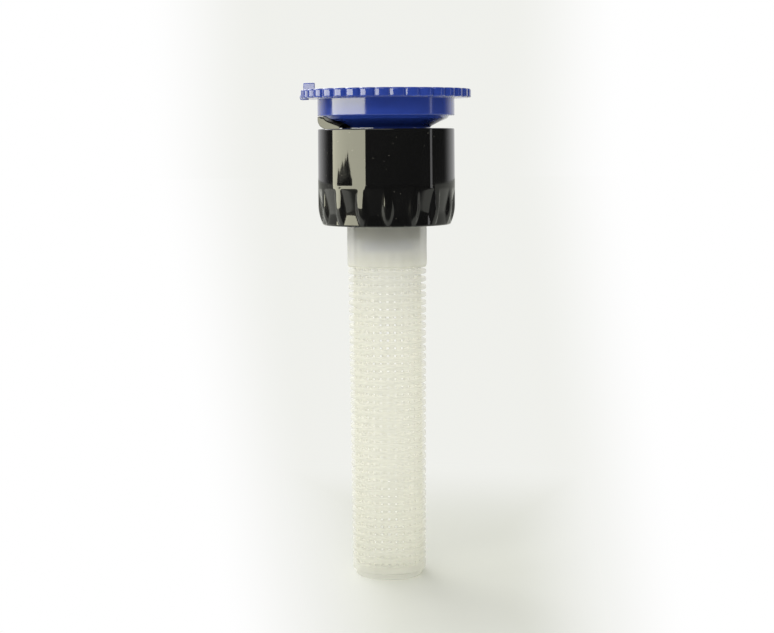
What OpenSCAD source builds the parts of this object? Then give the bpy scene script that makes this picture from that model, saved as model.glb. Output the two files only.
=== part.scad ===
// Adjustable-arc spray nozzle with its filter screen, in millimetres.
// +Z is up along the nozzle's axis. The origin is the centre of the screen's closed end.
// The fixed edge of the arc is on the -X side, and the arc opens clockwise seen from above.

/* [Screen] */
// Length of the screen below the body
screen_len = 57.85; // [45:0.05:75]
// Outside radius of the smooth collar at the screen's top
collar_r = 6.475; // [6:0.005:8]
// Length of that collar below the body
collar_len = 6.6; // [5:0.1:9]
// Wall of the collar
collar_wall = 1.05; // [0.8:0.05:1.2]
// Distance from one ring groove to the next
groove_pitch = 1.27; // [1:0.01:1.6]
// Width of a ring groove
groove_w = 0.54; // [0.4:0.01:0.6]
// Depth of the top groove
groove_depth = 0.75; // [0.5:0.05:0.8]
// How much slimmer the rings are at the closed end than at the collar
ring_taper = 0.32; // [0:0.01:0.35]
// Thickness of the wall inside the grooves
liner_t = 0.4; // [0.3:0.05:0.5]
// Columns of holes around the screen
hole_columns = 16; // [8:1:20]
// Width of a hole
hole_w = 0.42; // [0.3:0.01:0.5]
// Height of the plain band at the closed end
end_band_h = 2.3; // [2:0.1:3]
// Thickness of the closed end
end_t = 1.2; // [0.8:0.1:1.6]
// Thickness of the screen's top flange
flange_t = 0.7; // [0.5:0.05:1]
// Thickness of the gasket above that flange
gasket_t = 0.5; // [0.3:0.05:0.8]

/* [Body] */
// Height of the body
body_h = 15.45; // [14.5:0.05:20]
// Radius of the body over its ribs
body_r = 11.1; // [10.7:0.05:14]
// Depth of the riser socket
socket_depth = 8.65; // [7:0.05:10]
// Room for the riser's wall between the collar and the thread
riser_room = 1.075; // [0.9:0.005:1.6]
// Depth of the riser thread
thread_h = 0.45; // [0.3:0.05:0.5]
// Pitch of the riser thread
thread_pitch = 0.94; // [0.8:0.01:1.2]
// Number of ribs on the skirt
rib_count = 16; // [8:1:24]
// Width of a rib's face
rib_w = 1.1; // [0.8:0.05:1.6]
// Depth of the flutes between the ribs
flute_depth = 0.68; // [0.4:0.01:0.8]
// Plain height of the body above the flutes
plain_h = 9.5; // [8:0.1:11]
// Thickness of the fixed arc edge
fin_t = 0.9; // [0.7:0.1:1.5]
// Angle of the lip beside the fixed arc edge
lip_angle = 45; // [20:1:60]
// Width of a spoke in the body
spoke_w = 1.2; // [1:0.1:1.6]

/* [Deflector] */
// How far the toothed disc stands out past the ring
disc_overhang = 2.68; // [2:0.01:4]
// Thickness of the toothed disc
disc_t = 1.4; // [1.2:0.05:2]
// Number of teeth on the disc
tooth_count = 35; // [24:1:40]
// Width of the gap between two teeth
tooth_gap = 0.7; // [0.4:0.05:0.9]
// Depth of the gap between two teeth
tooth_depth = 0.62; // [0.4:0.02:0.8]
// Height of the plain ring under the disc
ring_h = 2.84; // [2.6:0.02:4]
// Gap between the body and the ring, where the spray leaves
spray_gap = 2.06; // [1.9:0.02:2.6]
// How far the arc tab rises above the disc
tab_rise = 1.15; // [0.6:0.05:1.6]
// Length of the arc tab along the radius
tab_len = 1.87; // [1.2:0.01:2.4]
// Width of the arc tab
tab_w = 1.8; // [1.2:0.1:2.4]
// How far the tab's nose reaches past its upper face
tab_nose = 0.67; // [0.4:0.01:0.9]

/* [Bearing and valve] */
// Radius of the brass post
post_r = 2.7; // [2.5:0.05:3.3]
// Radius of the radius screw
screw_r = 1.5; // [1.2:0.05:1.6]
// Radial clearance of a shaft that turns in its bore
running_gap = 0.06; // [0.03:0.01:0.09]
// Clearance of parts that slide past each other
slide_gap = 0.1; // [0.08:0.01:0.15]
// Rise of the helical valve seat over one turn
helix_rise = 1.0; // [0.6:0.05:1.05]
// Width of the spring's channel around the hub
spring_room = 1.0; // [0.9:0.05:1.1]
// Thickness of the spring's wire
wire_d = 0.5; // [0.3:0.05:0.6]
// Wall of the valve sleeve
sleeve_wall = 0.95; // [0.8:0.05:1.1]
// Height of the splines' teeth
spline_h = 0.45; // [0.3:0.05:0.5]
// Number of splines
spline_count = 6; // [4:1:8]
// Wall of the deflector outside the splines
throat_wall = 1.27; // [1:0.01:1.4]
// Gap between the deflector's throat and the body's opening
throat_gap = 0.28; // [0.25:0.01:0.4]
// Pitch of the radius screw's thread
screw_pitch = 0.5; // [0.4:0.05:0.7]
// Travel of the throttle plug
plug_travel = 1.75; // [1:0.05:1.8]
// Radius of the throttle plug's disc
plug_r = 4.3; // [4:0.05:4.4]

/* [Hidden] */
$fn = 96;

// Small depth by which a cutter runs past the face that it opens
over = 0.5;
// Small break on moulded edges
edge = 0.15;
// Place of the fixed arc edge around the axis, and of the arc tab when the arc is closed
fin_angle = 173;
tab_angle = 180;

// Heights along the axis
collar_z = screen_len - collar_len;
shoulder_z = screen_len + socket_depth;
body_top = screen_len + body_h;
flute_z = body_top - plain_h;
ring_z = body_top + spray_gap;
disc_z = ring_z + ring_h;
disc_top = disc_z + disc_t;

// Radii of the screen and of what it holds
ring_inset = 0.125;
ring_r = collar_r - ring_inset;
groove_floor_r = ring_r - groove_depth;
liner_r = groove_floor_r - liner_t;
collar_bore_r = collar_r - collar_wall;
guide_fit = 0.05;
guide_r = collar_bore_r - guide_fit;
guide_wall = 0.6;
guide_lip = 0.25;
guide_flange_r = guide_r + guide_lip;
press_fit = 0.03;
chamber_r = guide_flange_r + press_fit;
socket_r = collar_r + riser_room;
flange_gap = 0.15;
flange_r = socket_r - flange_gap;

// Radii around the post, from the inside out
bore_room = 0.1;
post_bore_r = screw_r + bore_room;
hub_bore_r = post_r + running_gap;
hub_wall = 0.64;
hub_r = hub_bore_r + hub_wall;
sleeve_bore_r = hub_r + spring_room;
sleeve_r = sleeve_bore_r + sleeve_wall;
pocket_r = sleeve_r + slide_gap;
spline_r = sleeve_r + spline_h;
keyway_r = spline_r + slide_gap;
throat_r = keyway_r + throat_wall;
opening_r = throat_r + throat_gap;

// Heights inside, all set from the body's top
bowl_depth = 3.9;
bowl_z = body_top - bowl_depth;
spider_rise = 0.2;
spider_top = bowl_z + spider_rise;
spider_gap = 1.1;
spider_z = shoulder_z + spider_gap;
seat_h = 0.4;
seat_z = bowl_z + seat_h;
floor_gap = 0.2;
sleeve_floor_z = seat_z + helix_rise + floor_gap;
sleeve_floor_t = 0.6;
sleeve_rise = 0.4;
sleeve_top = body_top + sleeve_rise;
rim_drop = 0.4;
rim_z = body_top - rim_drop;
roof_drop = 0.46;
pocket_top = ring_z - roof_drop;
roof_t = 0.8;
well_z = pocket_top + roof_t;
well_room = 2.2;
well_r = post_r + well_room;
cap_depth = 1.3;
ledge_z = disc_top - cap_depth;
hub_end_gap = 0.3;
hub_end_z = spider_top + hub_end_gap;

// The stack of washers in the deflector's well. A ring's groove is wider than the ring by its fit.
groove_fit = 0.02;
dish_t = 0.22;
dish_h = 0.55;
washer_t = 0.5;
keeper_t = 0.55;
stack_gap = 0.05;
washer_bore_r = post_r + running_gap;
dish_gap = 0.2;
dish_r = well_r - dish_gap;
thrust_z = well_z + dish_h + stack_gap;
keeper_z = thrust_z + washer_t + stack_gap;
keeper_groove = 0.35;
keeper_groove_r = post_r - keeper_groove;
post_tip = 0.8;
post_top = keeper_z + keeper_t + post_tip;
post_flange_w = 0.7;
post_flange_t = 0.9;
post_flange_lift = 0.2;
post_flange_z = shoulder_z + post_flange_lift;
post_tail = 0.7;
post_bottom = post_flange_z - post_tail;
seal_pocket_w = 0.6;
seal_pocket_r = post_bore_r + seal_pocket_w;
seal_pocket_h = 0.7;
seal_r = screw_r + press_fit;
seal_d = seal_pocket_r - groove_fit - seal_r;

// The radius screw and what it moves
head_z = post_top + slide_gap;
head_h = 1.1;
head_step = 0.4;
head_r = screw_r + head_step;
head_room = 0.5;
head_hole_r = head_r + head_room;
cap_sink = 0.1;
cap_t = disc_top - ledge_z - cap_sink;
ledge_w = 0.8;
cap_r = well_r + ledge_w;
cap_fit = 0.05;
clip_t = 0.5;
clip_z = post_bottom - clip_t - stack_gap;
clip_groove = 0.3;
clip_groove_r = screw_r - clip_groove;
plug_lift = 2.25;
plug_z = collar_z + plug_lift;
plug_disc_t = 1.5;
boss_wall = 1.05;
boss_r = screw_r + running_gap + boss_wall;
boss_start = 0.5;
key_w = 1.0;
plug_len = 6.5;
key_top = plug_z + plug_len;
key_gap = 0.3;
key_r = guide_r - guide_wall - key_gap;
rail_w = 0.6;
rail_gap = 1.5;
rail_r = boss_r + rail_gap;
rail_lift = 0.2;
rail_z = plug_z + plug_disc_t + plug_travel + rail_lift;
plug_gap = 0.5;
guide_z = plug_z + plug_disc_t + plug_gap;
screw_recess = 0.5;
screw_end_z = plug_z + screw_recess;
screw_thread_len = 9;

// Number of ring grooves that fit between the end band and the collar
groove_z = end_band_h + groove_w / 2;
groove_count = 1 + floor((collar_z - edge - groove_w / 2 - groove_z) / groove_pitch);

// Outside radius of the screen's rings at a height
function screen_r(z) = ring_r - ring_taper * (1 - z / collar_z);

// The spray cone's underside, from its lip at the throat to its knee under the ring
disc_inset = 0.03;
ring_outer_r = body_r - disc_inset;
ring_wall = 0.84;
ring_inner_r = ring_outer_r - ring_wall;
knee_w = 0.41;
cone_r = ring_inner_r - knee_w;
knee_h = 0.47;
cone_z = ring_z - knee_h;
lip_w = 0.22;
lip_r = throat_r + lip_w;
lip_rise = 0.42;
lip_z = body_top + lip_rise;
disc_r = ring_outer_r + disc_overhang;
function cone_height(r) = lip_z + (cone_z - lip_z) * (r - lip_r) / (cone_r - lip_r);

// Rows of V grooves between two heights, as the side of an outline: a screw's or a socket's thread
function thread_side(root_r, crest_r, z, pitch, count) = [
  for (k = [0 : count - 1]) each [[root_r, z + k * pitch], [crest_r, z + (k + 0.5) * pitch]]
];

// A ring with flat top and bottom
module ring(outer_r, inner_r, z, h) {
  translate([0, 0, z])
    difference() {
      cylinder(r = outer_r, h = h);
      translate([0, 0, -over]) cylinder(r = inner_r, h = h + 2 * over);
    }
}

// Bars that stand around the axis, from one radius to another
module radial_bars(count, from_r, to_r, w, z, h) {
  for (i = [0 : count - 1])
    rotate(i * 360 / count)
      translate([from_r, -w / 2, z])
        cube([to_r - from_r, w, h]);
}

// A snap ring with an open side, as wide as its share of the inside
open_share = 1.4;
module open_ring(outer_r, inner_r, z, h) {
  difference() {
    ring(outer_r, inner_r, z, h);
    translate([0, -inner_r * open_share / 2, z - over])
      cube([outer_r + over, inner_r * open_share, h + 2 * over]);
  }
}

// A helical ring whose lower or upper face climbs one rise per turn, clockwise from the fixed arc edge
helix_steps = 72;
helix_start = 2;
module helical_ring(outer_r, inner_r, flat_z, helix_z, start) {
  turn = 360 - 2 * start;
  columns = [for (i = [0 : helix_steps]) fin_angle - start - turn * i / helix_steps];
  points = [
    for (i = [0 : helix_steps])
      let (a = columns[i], z = helix_z + helix_rise * (start + turn * i / helix_steps) / 360)
        each [for (r = [inner_r, outer_r], h = [min(z, flat_z), max(z, flat_z)])
          [r * cos(a), r * sin(a), h]]
  ];
  // Corners of one column: inner low, inner high, outer low, outer high
  sides = [
    for (i = [0 : helix_steps - 1])
      let (c = 4 * i, n = c + 4)
        each [
          [c, c + 1, n + 1], [c, n + 1, n],
          [c + 2, n + 3, c + 3], [c + 2, n + 2, n + 3],
          [c, n, c + 2], [n, n + 2, c + 2],
          [c + 1, c + 3, n + 1], [n + 1, c + 3, n + 3]
        ]
  ];
  last = 4 * helix_steps;
  ends = [[0, 2, 3], [0, 3, 1], [last, last + 3, last + 2], [last, last + 1, last + 3]];
  polyhedron(points = points, faces = concat(sides, ends));
}

// The skirt's ribs: outside they run straight down and then curve in to the bottom
rib_drop = 0.76;
rib_curve_h = 3.15;
rib_curve_steps = 8;
rib_start = -89.1;
rib_root = 0.4;
rib_curve_r = (rib_curve_h * rib_curve_h + rib_drop * rib_drop) / (2 * rib_drop);
module rib_envelope() {
  curve_z = screen_len + rib_curve_h;
  rotate_extrude()
    polygon(concat(
      [[0, screen_len]],
      [for (i = [0 : rib_curve_steps]) let (dz = rib_curve_h * (1 - i / rib_curve_steps))
        [body_r - rib_curve_r + sqrt(rib_curve_r * rib_curve_r - dz * dz), curve_z - dz]],
      [[body_r, flute_z + edge], [0, flute_z + edge]]
    ));
}
module ribs() {
  foot = flute_depth + rib_root;
  intersection() {
    rib_envelope();
    for (i = [0 : rib_count - 1])
      rotate(i * 360 / rib_count + rib_start)
        translate([body_r, 0, screen_len])
          linear_extrude(flute_z - screen_len + edge)
            polygon([
              [-foot, -rib_w / 2 - foot], [0, -rib_w / 2], [over, -rib_w / 2],
              [over, rib_w / 2], [0, rib_w / 2], [-foot, rib_w / 2 + foot]
            ]);
  }
}

// The fixed arc edge: a radial wall under the spray cone, and the thin lip beside it
lip_start = 1;
lip_t = 0.35;
cone_gap = 0.12;
module fixed_edge() {
  tip_rise = 0.9;
  step_w = 0.3;
  step_h = 0.24;
  root_h = 0.3;
  foot_w = 0.4;
  tip_w = 0.1;
  rotate(fin_angle)
    translate([0, fin_t, 0])
      rotate([90, 0, 0])
        linear_extrude(fin_t)
          polygon([
            [opening_r, body_top - root_h], [cone_r, body_top - root_h], [cone_r, body_top],
            [cone_r + step_w, body_top + step_h], [body_r, body_top + tip_rise], [body_r, ring_z - cone_gap],
            [ring_inner_r + cone_gap / 2, ring_z - cone_gap], [cone_r + cone_gap / 2, cone_z - cone_gap],
            [opening_r, cone_height(opening_r) - cone_gap]
          ]);
  rotate([0, 0, fin_angle + lip_start])
    rotate_extrude(angle = lip_angle)
      polygon([
        [opening_r, body_top - root_h], [opening_r + foot_w, body_top - root_h],
        [opening_r + foot_w, cone_height(opening_r + foot_w) - cone_gap - lip_t],
        [cone_r - step_w, cone_height(cone_r - step_w) - cone_gap - lip_t],
        [cone_r - tip_w, cone_z - cone_gap], [opening_r, cone_height(opening_r) - cone_gap]
      ]);
}

module body_shell() {
  core_r = body_r - flute_depth;
  runout_h = 3.75;
  mouth = 0.3;
  undercut = 0.6;
  turns = floor((socket_depth - 2 * undercut) / thread_pitch);
  thread_top = shoulder_z - undercut;
  rotate_extrude()
    polygon(concat(
      [[socket_r + mouth, screen_len], [core_r - edge, screen_len], [core_r, screen_len + edge],
       [core_r, flute_z - runout_h], [body_r, flute_z], [body_r, body_top - edge],
       [body_r - edge, body_top], [opening_r, body_top], [opening_r, bowl_z], [chamber_r, bowl_z],
       [chamber_r, shoulder_z], [socket_r + thread_h, shoulder_z],
       [socket_r + thread_h, thread_top]],
      [for (k = [0 : turns - 1]) let (z = thread_top - k * thread_pitch)
        each [[socket_r, z - thread_pitch / 2], [socket_r + thread_h, z - thread_pitch]]],
      [[socket_r, thread_top - (turns + 0.5) * thread_pitch]]
    ));
}

module nozzle_body() {
  hub_z = post_flange_z + post_flange_t;
  bush_wall = 1.2;
  bush_fit = 0.01;
  spoke_root = 0.6;
  spoke_tip = 0.4;
  seat_root = 0.3;
  seat_in = 0.2;
  seat_out = 0.15;
  color([0.05, 0.05, 0.06]) {
    body_shell();
    ribs();
    ring(post_r + bush_wall, post_r + bush_fit, hub_z, spider_top - hub_z);
    radial_bars(4, post_r + spoke_root, chamber_r + spoke_tip, spoke_w, spider_z, bowl_z - spider_z);
    helical_ring(opening_r + seat_out, chamber_r + seat_in, bowl_z - seat_root, seat_z, helix_start);
    fixed_edge();
  }
}

// Outline of the deflector: disc, ring, cone and throat
module deflector_shell() {
  rotate_extrude()
    polygon([
      [hub_bore_r, hub_end_z], [hub_r, hub_end_z], [hub_r, pocket_top], [pocket_r, pocket_top],
      [pocket_r, rim_z], [throat_r - edge, rim_z], [throat_r, rim_z + edge], [throat_r, lip_z - lip_w],
      [lip_r, lip_z], [cone_r, cone_z], [ring_inner_r, ring_z], [ring_outer_r - edge, ring_z],
      [ring_outer_r, ring_z + edge], [ring_outer_r, disc_z], [disc_r - edge, disc_z], [disc_r, disc_z + edge],
      [disc_r, disc_top - edge], [disc_r - edge, disc_top], [cap_r + cap_fit, disc_top],
      [cap_r + cap_fit, ledge_z], [well_r, ledge_z], [well_r, well_z], [hub_bore_r, well_z]
    ]);
}

module arc_tab() {
  setback = 0.42;
  outer = disc_r - setback;
  nose = outer + tab_nose;
  nose_h = 0.3;
  chin = 0.1;
  chin_w = 0.4;
  sole = 0.2;
  heel_w = 0.8;
  rotate(tab_angle)
    translate([0, tab_w / 2, 0])
      rotate([90, 0, 0])
        linear_extrude(tab_w)
          polygon([
            [outer - tab_len, disc_z + edge], [outer - tab_len, disc_top + tab_rise - edge],
            [outer - tab_len + edge, disc_top + tab_rise], [outer - edge, disc_top + tab_rise],
            [outer, disc_top + tab_rise - edge], [outer, disc_top],
            [nose, disc_z + nose_h], [nose - chin, disc_z - chin], [nose - chin_w, disc_z - sole],
            [outer - heel_w, disc_z - sole], [outer - heel_w - sole, disc_z + edge]
          ]);
}

module deflector() {
  keyway_root = 0.3;
  color([0.16, 0.25, 0.62]) {
    difference() {
      deflector_shell();
      for (i = [0 : tooth_count - 1])
        rotate((i + 0.5) * 360 / tooth_count)
          translate([disc_r - tooth_depth + tooth_gap / 2, 0, disc_z - over])
            cylinder(d = tooth_gap, h = disc_t + 2 * over, $fn = 24);
      radial_bars(spline_count, hub_r + keyway_root, keyway_r, key_w + 2 * slide_gap, rim_z - over,
        pocket_top - rim_z + over);
    }
    arc_tab();
  }
}

module top_cap() {
  color([0.2, 0.3, 0.68]) ring(cap_r, head_hole_r, ledge_z, cap_t);
}

module radius_screw() {
  slot_w = 0.6;
  slot_depth = 0.6;
  thread_depth = 0.27;
  point = 0.3;
  point_h = 0.4;
  turns = floor(screw_thread_len / screw_pitch);
  thread_z = screw_end_z + point_h;
  color([0.75, 0.76, 0.78])
    difference() {
      rotate_extrude()
        polygon(concat(
          [[0, screw_end_z], [screw_r - point, screw_end_z]],
          thread_side(screw_r, screw_r - thread_depth, thread_z, screw_pitch, turns),
          [[screw_r, thread_z + turns * screw_pitch], [screw_r, clip_z - groove_fit],
           [clip_groove_r, clip_z - groove_fit], [clip_groove_r, clip_z + clip_t + groove_fit],
           [screw_r, clip_z + clip_t + groove_fit], [screw_r, head_z], [head_r, head_z],
           [head_r, head_z + head_h - edge], [head_r - edge, head_z + head_h], [0, head_z + head_h]]
        ));
      translate([-head_r - over, -slot_w / 2, head_z + head_h - slot_depth])
        cube([2 * (head_r + over), slot_w, slot_depth + over]);
    }
}

module screw_o_ring() {
  color([0.08, 0.08, 0.08])
    rotate_extrude()
      translate([seal_r + seal_d / 2, post_top - seal_pocket_h / 2])
        circle(d = seal_d, $fn = 32);
}

module center_post() {
  color([0.78, 0.62, 0.3])
    difference() {
      rotate_extrude()
        polygon([
          [post_bore_r, post_bottom], [post_r - edge, post_bottom], [post_r, post_bottom + edge],
          [post_r, post_flange_z], [post_r + post_flange_w, post_flange_z],
          [post_r + post_flange_w, post_flange_z + post_flange_t], [post_r, post_flange_z + post_flange_t],
          [post_r, keeper_z - groove_fit], [keeper_groove_r, keeper_z - groove_fit],
          [keeper_groove_r, keeper_z + keeper_t + groove_fit], [post_r, keeper_z + keeper_t + groove_fit],
          [post_r, post_top - edge], [post_r - edge, post_top], [post_bore_r, post_top]
        ]);
      translate([0, 0, post_top - seal_pocket_h]) cylinder(r = seal_pocket_r, h = seal_pocket_h + over);
    }
}

module retaining_ring() {
  keeper_room = 0.5;
  color([0.7, 0.71, 0.73])
    open_ring(well_r - keeper_room, keeper_groove_r + press_fit, keeper_z, keeper_t);
}

module thrust_washer() {
  washer_room = 0.3;
  color([0.85, 0.85, 0.82]) ring(well_r - washer_room, washer_bore_r, thrust_z, washer_t);
}

module friction_washer() {
  dish_foot = 0.01;
  color([0.7, 0.71, 0.73])
    rotate_extrude()
      polygon([
        [washer_bore_r, well_z + dish_h - dish_t], [washer_bore_r, well_z + dish_h],
        [dish_r, well_z + dish_t], [dish_r, well_z + dish_foot]
      ]);
}

module valve_sleeve() {
  key_lift = 0.3;
  key_z = sleeve_floor_z + key_lift;
  key_root = 0.3;
  skirt_root = 0.4;
  skirt_gap = 0.3;
  sleeve_gap = 0.1;
  color([0.85, 0.84, 0.78]) {
    ring(sleeve_r, sleeve_bore_r, sleeve_floor_z, sleeve_top - sleeve_floor_z);
    ring(sleeve_r, hub_r + slide_gap, sleeve_floor_z, sleeve_floor_t);
    radial_bars(spline_count, sleeve_bore_r + key_root, spline_r, key_w, key_z, sleeve_top - key_z);
    helical_ring(opening_r - skirt_gap, sleeve_bore_r + skirt_root, sleeve_floor_z + sleeve_floor_t,
      seat_z + sleeve_gap, 2 * helix_start);
  }
}

// The spring's coil: one round section swept along a helix
spring_turns = 3.5;
spring_steps = 42;
spring_sides = 8;
coil_gap = 0.01;
module valve_spring() {
  mean_r = hub_r + spring_room / 2;
  bottom = sleeve_floor_z + sleeve_floor_t + wire_d / 2 + coil_gap;
  top = pocket_top - wire_d / 2 - coil_gap;
  points = [
    for (i = [0 : spring_steps], j = [0 : spring_sides - 1])
      let (a = 360 * spring_turns * i / spring_steps, b = 360 * j / spring_sides,
           r = mean_r + wire_d / 2 * cos(b), z = bottom + (top - bottom) * i / spring_steps)
        [r * cos(a), r * sin(a), z + wire_d / 2 * sin(b)]
  ];
  skin = [
    for (i = [0 : spring_steps - 1], j = [0 : spring_sides - 1])
      let (c = i * spring_sides, n = c + spring_sides, k = (j + 1) % spring_sides)
        each [[c + j, c + k, n + j], [c + k, n + k, n + j]]
  ];
  first_end = [for (j = [0 : spring_sides - 1]) spring_sides - 1 - j];
  last_end = [for (j = [0 : spring_sides - 1]) spring_steps * spring_sides + j];
  color([0.72, 0.73, 0.75]) polyhedron(points = points, faces = concat(skin, [first_end, last_end]));
}

module flow_guide() {
  guide_bore_r = guide_r - guide_wall;
  rail_fit = 0.05;
  rail_y = key_w / 2 + slide_gap + rail_fit;
  rail_root = 0.2;
  guide_top = shoulder_z + 1;
  color([0.09, 0.09, 0.1]) {
    rotate_extrude()
      polygon([
        [guide_bore_r, guide_z], [guide_r - edge, guide_z], [guide_r, guide_z + edge],
        [guide_r, shoulder_z - gasket_t], [guide_flange_r, shoulder_z - gasket_t],
        [guide_flange_r, guide_top], [guide_bore_r, guide_top]
      ]);
    for (i = [0 : 3], side = [-1, 1])
      rotate(i * 90 + 45)
        translate([rail_r, side * (rail_y + rail_w / 2) - rail_w / 2, rail_z])
          cube([guide_bore_r + rail_root - rail_r, rail_w, key_top + plug_travel - rail_z]);
  }
}

module throttle_plug() {
  bevel = 0.3;
  key_root = 0.5;
  boss_z = plug_z + boss_start;
  color([0.16, 0.25, 0.62])
    difference() {
      union() {
        translate([0, 0, plug_z]) cylinder(r1 = plug_r - bevel, r2 = plug_r, h = bevel);
        translate([0, 0, plug_z + bevel]) cylinder(r = plug_r, h = plug_disc_t - bevel);
        translate([0, 0, boss_z]) cylinder(r = boss_r, h = key_top - boss_z);
        rotate(45)
          radial_bars(4, screw_r + key_root, key_r, key_w, boss_z, key_top - boss_z);
      }
      translate([0, 0, plug_z - over])
        cylinder(r = screw_r + running_gap, h = key_top - plug_z + 2 * over);
    }
}

module screw_clip() {
  clip_w = 1.1;
  color([0.7, 0.71, 0.73]) open_ring(screw_r + clip_w, clip_groove_r + press_fit, clip_z, clip_t);
}

// Outline of the screen's outside, from the closed end up through the grooves
module screen_shell() {
  rim_step = 0.6;
  rim_r = ring_r - ring_taper - rim_step;
  draft = 0.06;
  rim_h = 0.85;
  rim_neck = 0.25;
  neck_z = 0.97;
  band_z = 1.1;
  band_step = 0.1;
  bore_bevel = 0.5;
  grooves = [
    for (k = [0 : groove_count - 1])
      let (z = groove_z + k * groove_pitch, r = screen_r(z))
        each [
          [r, z - groove_w / 2], [groove_floor_r, z - groove_w / 2 + draft],
          [groove_floor_r, z + groove_w / 2 - draft], [r, z + groove_w / 2]
        ]
  ];
  rotate_extrude()
    polygon(concat(
      [[0, 0], [rim_r - edge, 0], [rim_r, edge], [rim_r, rim_h], [rim_r - rim_neck, neck_z],
       [screen_r(0) - band_step, band_z]],
      grooves,
      [[screen_r(collar_z), collar_z - edge], [collar_r, collar_z],
       [collar_r, shoulder_z - gasket_t - flange_t], [flange_r, shoulder_z - gasket_t - flange_t],
       [flange_r, shoulder_z - gasket_t], [collar_bore_r, shoulder_z - gasket_t],
       [collar_bore_r, collar_z + bore_bevel], [liner_r, collar_z], [liner_r, end_t], [0, end_t]]
    ));
}

module filter_screen() {
  slot_z = groove_z - groove_w;
  slot_h = (groove_count - 1) * groove_pitch + 2 * groove_w;
  slot_in = 0.3;
  slot_out = 0.12;
  color([0.9, 0.9, 0.8])
    difference() {
      screen_shell();
      radial_bars(hole_columns, liner_r - slot_in, groove_floor_r + slot_out, hole_w, slot_z, slot_h);
    }
}

module screen_gasket() {
  outer_inset = 0.1;
  inner_gap = 0.15;
  color([0.1, 0.1, 0.1])
    ring(flange_r - outer_inset, guide_flange_r + inner_gap, shoulder_z - gasket_t, gasket_t);
}

nozzle_body();
deflector();
top_cap();
radius_screw();
screw_o_ring();
center_post();
retaining_ring();
thrust_washer();
friction_washer();
valve_sleeve();
valve_spring();
flow_guide();
throttle_plug();
screw_clip();
filter_screen();
screen_gasket();
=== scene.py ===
import math

import bmesh
import bpy
from mathutils import Matrix, Vector


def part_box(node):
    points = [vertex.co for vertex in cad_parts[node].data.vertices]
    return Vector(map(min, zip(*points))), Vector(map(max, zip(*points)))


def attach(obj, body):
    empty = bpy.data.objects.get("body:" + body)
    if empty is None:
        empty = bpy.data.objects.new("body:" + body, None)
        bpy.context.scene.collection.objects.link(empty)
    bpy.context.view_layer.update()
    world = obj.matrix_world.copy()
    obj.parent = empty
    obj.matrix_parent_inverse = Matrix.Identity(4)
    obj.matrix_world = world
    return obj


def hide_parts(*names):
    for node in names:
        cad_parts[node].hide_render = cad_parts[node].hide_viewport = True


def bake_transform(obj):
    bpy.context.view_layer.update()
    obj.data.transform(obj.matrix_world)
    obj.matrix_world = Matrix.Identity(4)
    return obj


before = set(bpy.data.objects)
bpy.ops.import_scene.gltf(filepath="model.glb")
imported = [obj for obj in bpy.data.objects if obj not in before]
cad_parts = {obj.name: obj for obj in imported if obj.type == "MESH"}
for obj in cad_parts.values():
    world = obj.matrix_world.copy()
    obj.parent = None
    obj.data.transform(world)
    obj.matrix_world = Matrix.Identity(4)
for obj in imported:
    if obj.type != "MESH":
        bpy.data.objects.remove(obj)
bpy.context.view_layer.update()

# Lengths below are in millimetres, in the frame's axes, unless said otherwise. Meshes are made in metres.
MM = 0.001
WHOLE_TURN = 2 * math.pi
FRONT = -90              # angle, in degrees, of the side that faces the camera


def high(node):
    """Height of a CAD node's top, in millimetres."""
    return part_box(node)[1][2] / MM


# ---------------------------------------------------------------- meshes

MERGE_DISTANCE = 0.0005
SAME_PLACE = 1e-6
FLAT_MARGIN = 0.03       # a narrow flat beside a rounded edge, which keeps the face beyond it evenly shaded
LARGE_FACE = 0.4         # area from which a plate's face gets that margin


def to_mesh(bm, name):
    mesh = bpy.data.meshes.new(name)
    bm.to_mesh(mesh)
    bm.free()
    return mesh


def add_object(name, data):
    obj = bpy.data.objects.new(name, data)
    bpy.context.scene.collection.objects.link(obj)
    return obj


def finish_mesh(bm, name, material, sharp=35):
    """Turns a bmesh made in millimetres into a smooth-shaded object."""
    bmesh.ops.remove_doubles(bm, verts=bm.verts, dist=MERGE_DISTANCE)
    loose = [v for v in bm.verts if not v.link_faces]
    bmesh.ops.delete(bm, geom=loose, context="VERTS")
    bmesh.ops.recalc_face_normals(bm, faces=bm.faces)
    bmesh.ops.scale(bm, vec=(MM, MM, MM), verts=bm.verts)
    mesh = to_mesh(bm, name)
    mesh.polygons.foreach_set("use_smooth", [True] * len(mesh.polygons))
    mesh.set_sharp_from_angle(angle=math.radians(sharp))
    mesh.materials.append(material)
    return add_object(name, mesh)


def rounded(points, segments=4):
    """Rounds an outline's corners. A point is (r, z) or (r, z, radius of its corner)."""
    out = []
    count = len(points)
    for i, point in enumerate(points):
        here = Vector(point[:2])
        radius = point[2] if len(point) > 2 else 0
        if not radius:
            out.append((here.x, here.y))
            continue
        before = (Vector(points[i - 1][:2]) - here).normalized()
        after = (Vector(points[(i + 1) % count][:2]) - here).normalized()
        half = before.angle(after) / 2
        reach = radius / math.tan(half)
        centre = here + (before + after).normalized() * radius / math.sin(half)
        first = here + before * reach - centre
        last = here + after * reach - centre
        turn = first.angle_signed(last)
        pad = before * (reach + FLAT_MARGIN) + here
        out.append((pad.x, pad.y))
        for k in range(segments + 1):
            spoke = Matrix.Rotation(-turn * k / segments, 2) @ first
            out.append((centre.x + spoke.x, centre.y + spoke.y))
        pad = after * (reach + FLAT_MARGIN) + here
        out.append((pad.x, pad.y))
    return out


def same_place(first, second):
    return (first.co - second.co).length < SAME_PLACE


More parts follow.
